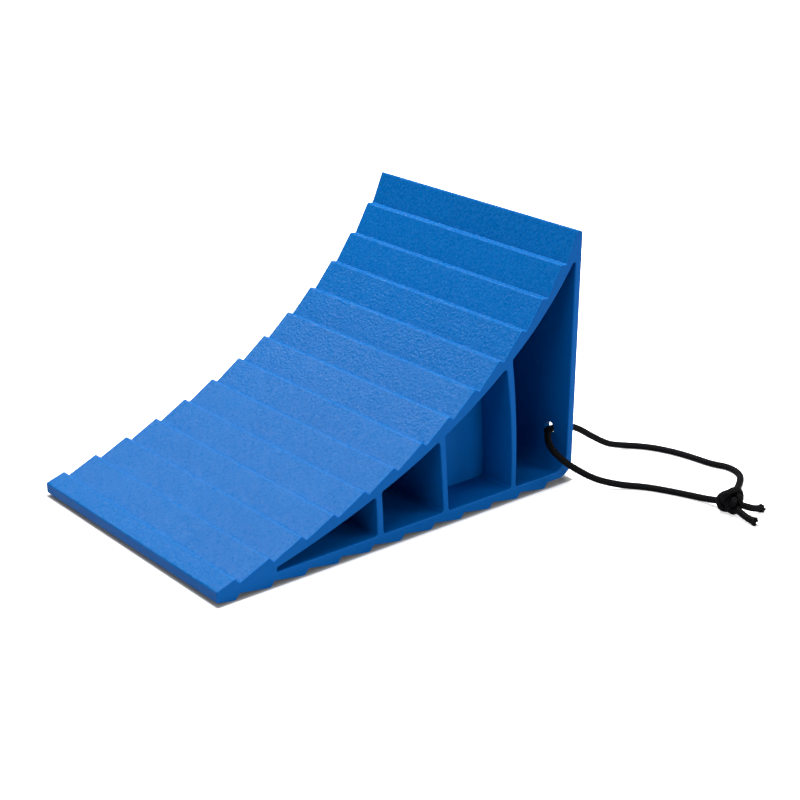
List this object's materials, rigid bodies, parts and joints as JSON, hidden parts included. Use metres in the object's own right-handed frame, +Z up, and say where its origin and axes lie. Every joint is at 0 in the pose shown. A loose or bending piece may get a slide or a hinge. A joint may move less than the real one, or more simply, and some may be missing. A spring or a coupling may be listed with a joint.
{
  "type": "wheel chock",
  "caption": "Moulded plastic wheel chock with a curved toothed ramp, ribbed open sides, a toothed base and a braided pull rope knotted through its rear wall.",
  "frame": {"origin": "middle of the chock body's footprint, on the ground under the base teeth; the rope is left out", "axes": "+X from the thin toe to the tall rear wall (heel), +Y across the width to the side away from the rope hole, +Z up"},
  "size_m": [0.2674, 0.2252, 0.1213],
  "materials": {
    "body_plastic": "blue moulded polypropylene, fine grain on the treads and smooth sides",
    "rope_cord": "black braided polyester cord"
  },
  "bodies": {
    "root": {"chock_body": "body_plastic", "rope_outer_strand": "rope_cord", "rope_inner_strand": "rope_cord", "rope_knot": "rope_cord", "rope_tail_upper": "rope_cord", "rope_tail_lower": "rope_cord"}
  },
  "joints": []
}
